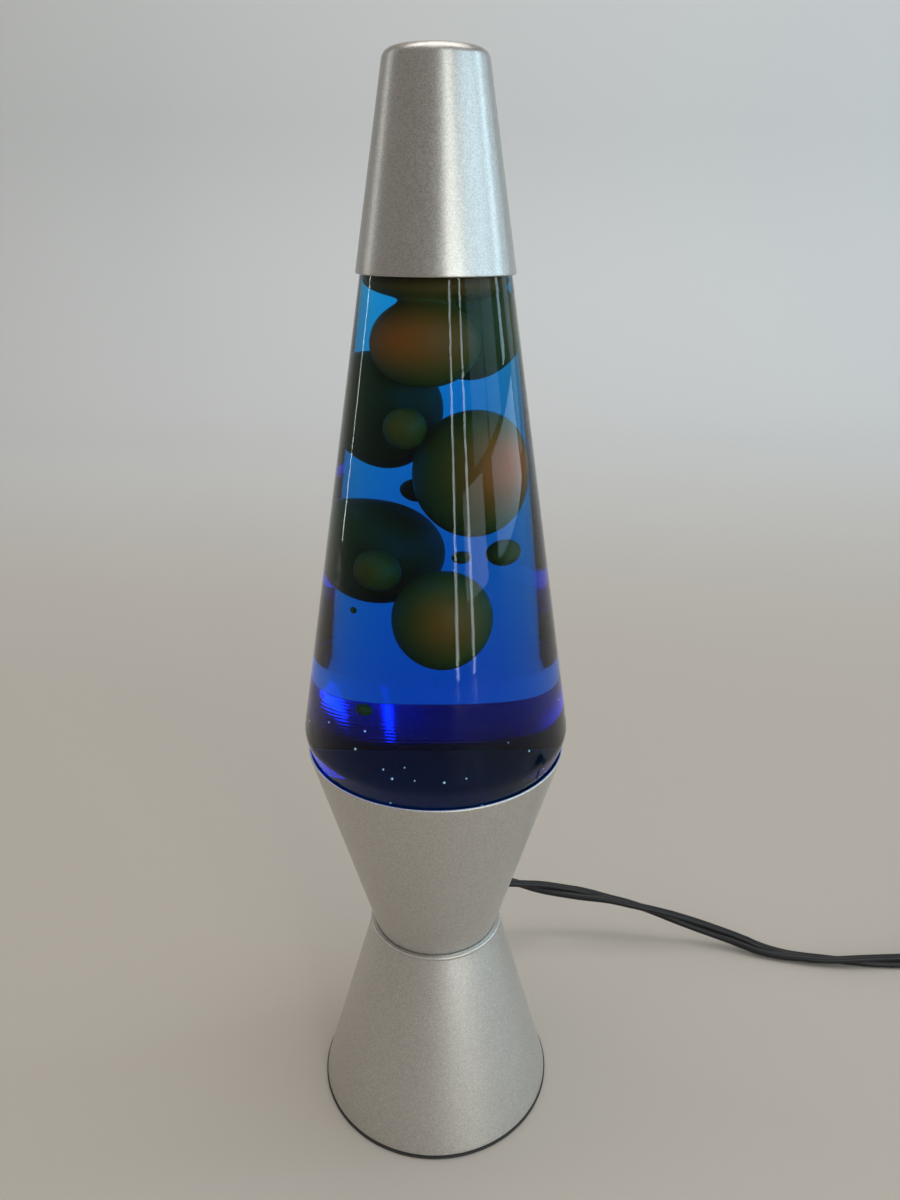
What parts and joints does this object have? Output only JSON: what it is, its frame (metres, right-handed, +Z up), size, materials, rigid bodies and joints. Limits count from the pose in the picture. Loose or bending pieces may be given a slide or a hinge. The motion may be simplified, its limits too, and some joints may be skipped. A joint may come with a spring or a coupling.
{
  "type": "liquid motion lamp",
  "caption": "Conical glass globe of blue liquid and orange wax on a spun metal base with a heating bulb, loose cap, black cord, inline switch and plug.",
  "frame": {"origin": "on the floor under the centre of the round base", "axes": "+Z up along the lamp's axis, +Y to the rear where the cord leaves, +X to the viewer's right"},
  "size_m": [0.4936, 0.1292, 0.3683],
  "materials": {
    "base_metal": "spun sheet with satin silver paint",
    "cap_metal": "spun sheet with satin silver paint",
    "black_plastic": "moulded, fine grain",
    "rubber": "soft, matt",
    "zinc_steel": "bright zinc plate",
    "spring_steel": "drawn wire",
    "phenolic": "moulded thermoset",
    "brass": "bright",
    "solder": "dull solder",
    "black_glass": "opaque vitreous insulator",
    "clear_glass": "clear, thin",
    "globe_glass": "clear, thick",
    "wire": "fine drawn wire",
    "liquid": "clear blue liquid",
    "wax": "smooth warm wax",
    "crown_metal": "tinplate",
    "liner": "soft moulded liner",
    "black_moulding": "soft vinyl and moulded shells, satin",
    "cord_jacket": "flexible vinyl jacket",
    "lead_black": "insulated wire",
    "lead_white": "insulated wire"
  },
  "bodies": {
    "base": {"lower_cone": "base_metal", "upper_cone": "base_metal", "base_cover": "black_plastic", "foot_pads": "rubber", "lampholder_pan": "zinc_steel", "waist_screws": "zinc_steel", "waist_nuts": "zinc_steel", "holder_body": "phenolic", "holder_screws": "zinc_steel", "holder_shell": "brass", "holder_contact": "brass", "holder_rivets": "brass", "cord_bushing": "black_moulding", "lead_live": "lead_black", "lead_neutral": "lead_white", "cord_run": "cord_jacket", "switch_bottom": "black_moulding", "switch_top": "black_moulding", "switch_contacts": "brass", "switch_screw": "zinc_steel", "cord_tail": "cord_jacket", "cord_coil": "cord_jacket", "plug": "black_moulding", "plug_blade_narrow": "brass", "plug_blade_wide": "brass"},
    "switch_wheel": {"switch_wheel": "black_moulding"},
    "bulb": {"bulb_contact": "solder", "bulb_insulator": "black_glass", "bulb_shell": "brass", "bulb_envelope": "clear_glass", "bulb_stem": "clear_glass", "lead_in_wires": "wire", "filament": "wire"},
    "globe": {"globe": "globe_glass", "liquid": "liquid", "wax_top_mass": "wax", "wax_middle_left": "wax", "wax_middle_ball": "wax", "wax_middle_right": "wax", "wax_middle_bud": "wax", "wax_lower_left": "wax", "wax_lower_ball": "wax", "wax_lower_front": "wax", "wax_droplets": "wax", "wax_pool": "wax", "heat_coil": "spring_steel", "crown_liner": "liner", "crown_cap": "crown_metal"},
    "cap": {"cap": "cap_metal"}
  },
  "joints": [
    {"name": "globe_lift", "type": "slide", "parent": "base", "child": "globe", "axis": [0, 0, 1], "range_m": [0, 0.06]},
    {"name": "cap_lift", "type": "slide", "parent": "globe", "child": "cap", "axis": [0, 0, 1], "range_m": [0, 0.06]},
    {"name": "bulb_turn", "type": "hinge", "parent": "base", "child": "bulb", "pos_m": [0, 0, 0.08], "axis": [0, 0, 1], "continuous": true},
    {"name": "switch_wheel_turn", "type": "hinge", "parent": "base", "child": "switch_wheel", "pos_m": [0.291, 0.0511, 0.008], "axis": [0, 0, 1], "continuous": true}
  ]
}
